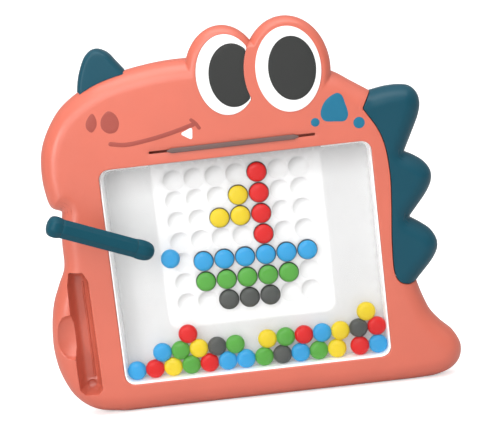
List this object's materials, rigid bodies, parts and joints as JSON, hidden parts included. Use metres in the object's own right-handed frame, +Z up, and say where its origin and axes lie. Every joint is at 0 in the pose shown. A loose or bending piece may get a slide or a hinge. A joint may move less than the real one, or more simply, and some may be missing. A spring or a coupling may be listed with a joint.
{
  "type": "magnetic bead drawing board",
  "caption": "Dinosaur-shaped magnetic bead board: two-shell housing, clear window over a dimple grid, coloured beads, slide-in pattern card and magnetic pen.",
  "frame": {"origin": "the back plane, straight behind the middle of the window", "axes": "the face looks along -Y, +Z is up when the board stands on its flat lower edge, +X is to the right of a person who looks at the face"},
  "size_m": [0.3065, 0.0659, 0.2827],
  "materials": {
    "coral": "satin moulded plastic",
    "teal": "satin moulded plastic",
    "pen_teal": "satin moulded plastic",
    "white_print": "printed white inlay",
    "white": "white moulded plastic",
    "clear": "clear sheet",
    "frosted": "frosted moulded sheet",
    "card": "laminated card",
    "tab": "flexible tab",
    "screw": "plated steel",
    "magnet": "nickel plated",
    "bead_red": "gloss",
    "bead_yellow": "gloss",
    "bead_blue": "gloss",
    "bead_green": "gloss",
    "bead_dark": "gloss"
  },
  "bodies": {
    "root": {"front_housing": "coral", "back_cover": "coral", "nose_horn": "teal", "back_spikes": "teal", "eye_inlay_left": "white_print", "eye_inlay_right": "white_print", "window_panel": "clear", "chamber_tray": "white", "dimple_plate": "frosted", "cover_screw_1": "screw", "cover_screw_2": "screw", "cover_screw_3": "screw", "cover_screw_4": "screw", "cover_screw_5": "screw", "cover_screw_6": "screw"},
    "pattern_card": {"pattern_card": "card"},
    "card_tab": {"card_tab": "tab"},
    "dragged_bead": {"bead_dragged_blue": "bead_blue"},
    "pen": {"pen_barrel": "pen_teal", "pen_tip_cap": "pen_teal", "pen_end_cap": "pen_teal", "pen_magnet": "magnet"},
    "loose01_blue": {"bead_loose01_blue": "bead_blue"},
    "loose07_blue": {"bead_loose07_blue": "bead_blue"},
    "loose08_green": {"bead_loose08_green": "bead_green"},
    "loose15_blue": {"bead_loose15_blue": "bead_blue"},
    "loose16_green": {"bead_loose16_green": "bead_green"},
    "loose17_yellow": {"bead_loose17_yellow": "bead_yellow"},
    "loose18_dark": {"bead_loose18_dark": "bead_dark"},
    "loose19_green": {"bead_loose19_green": "bead_green"},
    "loose20_yellow": {"bead_loose20_yellow": "bead_yellow"},
    "loose21_green": {"bead_loose21_green": "bead_green"},
    "loose22_red": {"bead_loose22_red": "bead_red"},
    "loose23_blue": {"bead_loose23_blue": "bead_blue"},
    "loose24_yellow": {"bead_loose24_yellow": "bead_yellow"},
    "loose25_dark": {"bead_loose25_dark": "bead_dark"},
    "loose26_red": {"bead_loose26_red": "bead_red"},
    "loose27_red": {"bead_loose27_red": "bead_red"},
    "loose28_yellow": {"bead_loose28_yellow": "bead_yellow"},
    "seat_row1_col5_red": {"bead_row1_col5_red": "bead_red"},
    "seat_row2_col4_yellow": {"bead_row2_col4_yellow": "bead_yellow"},
    "seat_row2_col5_red": {"bead_row2_col5_red": "bead_red"},
    "seat_row3_col3_yellow": {"bead_row3_col3_yellow": "bead_yellow"},
    "seat_row3_col4_yellow": {"bead_row3_col4_yellow": "bead_yellow"},
    "seat_row3_col5_red": {"bead_row3_col5_red": "bead_red"},
    "seat_row4_col5_red": {"bead_row4_col5_red": "bead_red"},
    "seat_row5_col2_blue": {"bead_row5_col2_blue": "bead_blue"},
    "seat_row5_col3_blue": {"bead_row5_col3_blue": "bead_blue"},
    "seat_row5_col4_blue": {"bead_row5_col4_blue": "bead_blue"},
    "seat_row5_col5_blue": {"bead_row5_col5_blue": "bead_blue"},
    "seat_row5_col6_blue": {"bead_row5_col6_blue": "bead_blue"},
    "seat_row5_col7_blue": {"bead_row5_col7_blue": "bead_blue"},
    "seat_row6_col2_green": {"bead_row6_col2_green": "bead_green"},
    "seat_row6_col3_green": {"bead_row6_col3_green": "bead_green"},
    "seat_row6_col4_green": {"bead_row6_col4_green": "bead_green"},
    "seat_row6_col5_green": {"bead_row6_col5_green": "bead_green"},
    "seat_row6_col6_green": {"bead_row6_col6_green": "bead_green"},
    "seat_row7_col3_dark": {"bead_row7_col3_dark": "bead_dark"},
    "seat_row7_col4_dark": {"bead_row7_col4_dark": "bead_dark"},
    "seat_row7_col5_dark": {"bead_row7_col5_dark": "bead_dark"}
  },
  "joints": [
    {"name": "bead_drag", "type": "slide", "parent": "root", "child": "dragged_bead", "axis": [0, 0, 1], "range_m": [-0.045, 0.06]},
    {"name": "card_slide", "type": "slide", "parent": "root", "child": "pattern_card", "axis": [0, 0, 1], "range_m": [0, 0.018]},
    {"name": "card_tab_slide", "type": "slide", "parent": "root", "child": "card_tab", "axis": [0, -0.917, 0.3989], "range_m": [0, 0.018]},
    {"name": "pen_lift", "type": "slide", "parent": "dragged_bead", "child": "pen", "axis": [0, -1, 0], "range_m": [0, 0.06]},
    {"name": "pile_rise_01", "type": "slide", "parent": "root", "child": "loose01_blue", "axis": [0, 0, 1], "range_m": [0, 0.02]},
    {"name": "pile_draw_07", "type": "slide", "parent": "root", "child": "loose07_blue", "axis": [0, -1, 0], "range_m": [0, 0.0005]},
    {"name": "pile_draw_08", "type": "slide", "parent": "root", "child": "loose08_green", "axis": [0, -1, 0], "range_m": [0, 0.0005]},
    {"name": "pile_rise_15", "type": "slide", "parent": "root", "child": "loose15_blue", "axis": [0, 0, 1], "range_m": [0, 0.02]},
    {"name": "pile_draw_16", "type": "slide", "parent": "root", "child": "loose16_green", "axis": [0, -1, 0], "range_m": [0, 0.0005]},
    {"name": "pile_draw_17", "type": "slide", "parent": "root", "child": "loose17_yellow", "axis": [0, -1, 0], "range_m": [0, 0.0005]},
    {"name": "pile_rise_18", "type": "slide", "parent": "root", "child": "loose18_dark", "axis": [0, 0, 1], "range_m": [0, 0.02]},
    {"name": "pile_rise_19", "type": "slide", "parent": "root", "child": "loose19_green", "axis": [0, 0, 1], "range_m": [0, 0.02]},
    {"name": "pile_rise_20", "type": "slide", "parent": "root", "child": "loose20_yellow", "axis": [0, 0, 1], "range_m": [0, 0.02]},
    {"name": "pile_rise_21", "type": "slide", "parent": "root", "child": "loose21_green", "axis": [0, 0, 1], "range_m": [0, 0.02]},
    {"name": "pile_rise_22", "type": "slide", "parent": "root", "child": "loose22_red", "axis": [0, 0, 1], "range_m": [0, 0.02]},
    {"name": "pile_rise_23", "type": "slide", "parent": "root", "child": "loose23_blue", "axis": [0, 0, 1], "range_m": [0, 0.02]},
    {"name": "pile_rise_24", "type": "slide", "parent": "root", "child": "loose24_yellow", "axis": [0, 0, 1], "range_m": [0, 0.02]},
    {"name": "pile_draw_25", "type": "slide", "parent": "root", "child": "loose25_dark", "axis": [0, -1, 0], "range_m": [0, 0.0005]},
    {"name": "pile_rise_26", "type": "slide", "parent": "root", "child": "loose26_red", "axis": [0, 0, 1], "range_m": [0, 0.02]},
    {"name": "pile_draw_27", "type": "slide", "parent": "root", "child": "loose27_red", "axis": [0, -1, 0], "range_m": [0, 0.0005]},
    {"name": "pile_rise_28", "type": "slide", "parent": "root", "child": "loose28_yellow", "axis": [0, 0, 1], "range_m": [0, 0.02]},
    {"name": "seat_lift_row1_col5", "type": "slide", "parent": "root", "child": "seat_row1_col5_red", "axis": [0, -1, 0], "range_m": [0, 0.0025]},
    {"name": "seat_lift_row2_col4", "type": "slide", "parent": "root", "child": "seat_row2_col4_yellow", "axis": [0, -1, 0], "range_m": [0, 0.0025]},
    {"name": "seat_lift_row2_col5", "type": "slide", "parent": "root", "child": "seat_row2_col5_red", "axis": [0, -1, 0], "range_m": [0, 0.0025]},
    {"name": "seat_lift_row3_col3", "type": "slide", "parent": "root", "child": "seat_row3_col3_yellow", "axis": [0, -1, 0], "range_m": [0, 0.0025]},
    {"name": "seat_lift_row3_col4", "type": "slide", "parent": "root", "child": "seat_row3_col4_yellow", "axis": [0, -1, 0], "range_m": [0, 0.0025]},
    {"name": "seat_lift_row3_col5", "type": "slide", "parent": "root", "child": "seat_row3_col5_red", "axis": [0, -1, 0], "range_m": [0, 0.0025]},
    {"name": "seat_lift_row4_col5", "type": "slide", "parent": "root", "child": "seat_row4_col5_red", "axis": [0, -1, 0], "range_m": [0, 0.0025]},
    {"name": "seat_lift_row5_col2", "type": "slide", "parent": "root", "child": "seat_row5_col2_blue", "axis": [0, -1, 0], "range_m": [0, 0.0025]},
    {"name": "seat_lift_row5_col3", "type": "slide", "parent": "root", "child": "seat_row5_col3_blue", "axis": [0, -1, 0], "range_m": [0, 0.0025]},
    {"name": "seat_lift_row5_col4", "type": "slide", "parent": "root", "child": "seat_row5_col4_blue", "axis": [0, -1, 0], "range_m": [0, 0.0025]},
    {"name": "seat_lift_row5_col5", "type": "slide", "parent": "root", "child": "seat_row5_col5_blue", "axis": [0, -1, 0], "range_m": [0, 0.0025]},
    {"name": "seat_lift_row5_col6", "type": "slide", "parent": "root", "child": "seat_row5_col6_blue", "axis": [0, -1, 0], "range_m": [0, 0.0025]},
    {"name": "seat_lift_row5_col7", "type": "slide", "parent": "root", "child": "seat_row5_col7_blue", "axis": [0, -1, 0], "range_m": [0, 0.0025]},
    {"name": "seat_lift_row6_col2", "type": "slide", "parent": "root", "child": "seat_row6_col2_green", "axis": [0, -1, 0], "range_m": [0, 0.0025]},
    {"name": "seat_lift_row6_col3", "type": "slide", "parent": "root", "child": "seat_row6_col3_green", "axis": [0, -1, 0], "range_m": [0, 0.0025]},
    {"name": "seat_lift_row6_col4", "type": "slide", "parent": "root", "child": "seat_row6_col4_green", "axis": [0, -1, 0], "range_m": [0, 0.0025]},
    {"name": "seat_lift_row6_col5", "type": "slide", "parent": "root", "child": "seat_row6_col5_green", "axis": [0, -1, 0], "range_m": [0, 0.0025]},
    {"name": "seat_lift_row6_col6", "type": "slide", "parent": "root", "child": "seat_row6_col6_green", "axis": [0, -1, 0], "range_m": [0, 0.0025]},
    {"name": "seat_lift_row7_col3", "type": "slide", "parent": "root", "child": "seat_row7_col3_dark", "axis": [0, -1, 0], "range_m": [0, 0.0025]},
    {"name": "seat_lift_row7_col4", "type": "slide", "parent": "root", "child": "seat_row7_col4_dark", "axis": [0, -1, 0], "range_m": [0, 0.0025]},
    {"name": "seat_lift_row7_col5", "type": "slide", "parent": "root", "child": "seat_row7_col5_dark", "axis": [0, -1, 0], "range_m": [0, 0.0025]}
  ],
  "couplings": [
    {"joint": "card_tab_slide", "follows": "card_slide", "ratio": 1}
  ]
}
